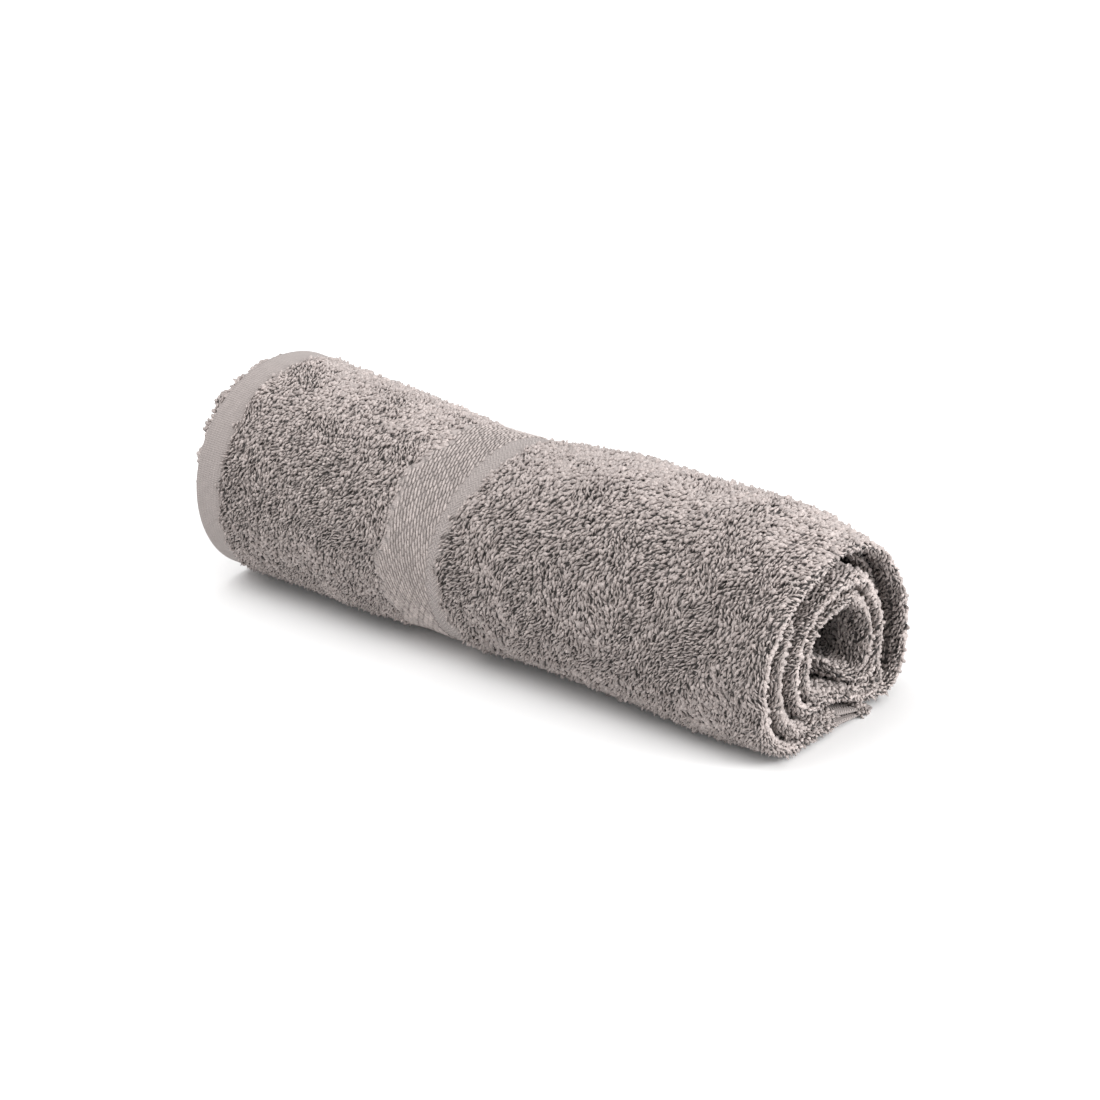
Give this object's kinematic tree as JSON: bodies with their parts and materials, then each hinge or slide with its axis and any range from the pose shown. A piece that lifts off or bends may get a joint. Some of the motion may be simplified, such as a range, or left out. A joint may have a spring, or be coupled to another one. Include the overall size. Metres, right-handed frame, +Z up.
{
  "type": "rolled bath towel",
  "caption": "Terry bath towel folded along its length and rolled up, with a flat-woven hem and a woven band.",
  "frame": {"origin": "on the surface under the middle of the roll's box", "axes": "+X along the roll towards its folded end, -Y its front, +Z up"},
  "size_m": [0.35, 0.1388, 0.1099],
  "materials": {
    "cotton_terry": "matte looped cotton pile, warm grey, with smoother and paler flat-woven hem and band"
  },
  "bodies": {
    "root": {"towel_roll": "cotton_terry"}
  },
  "joints": []
}
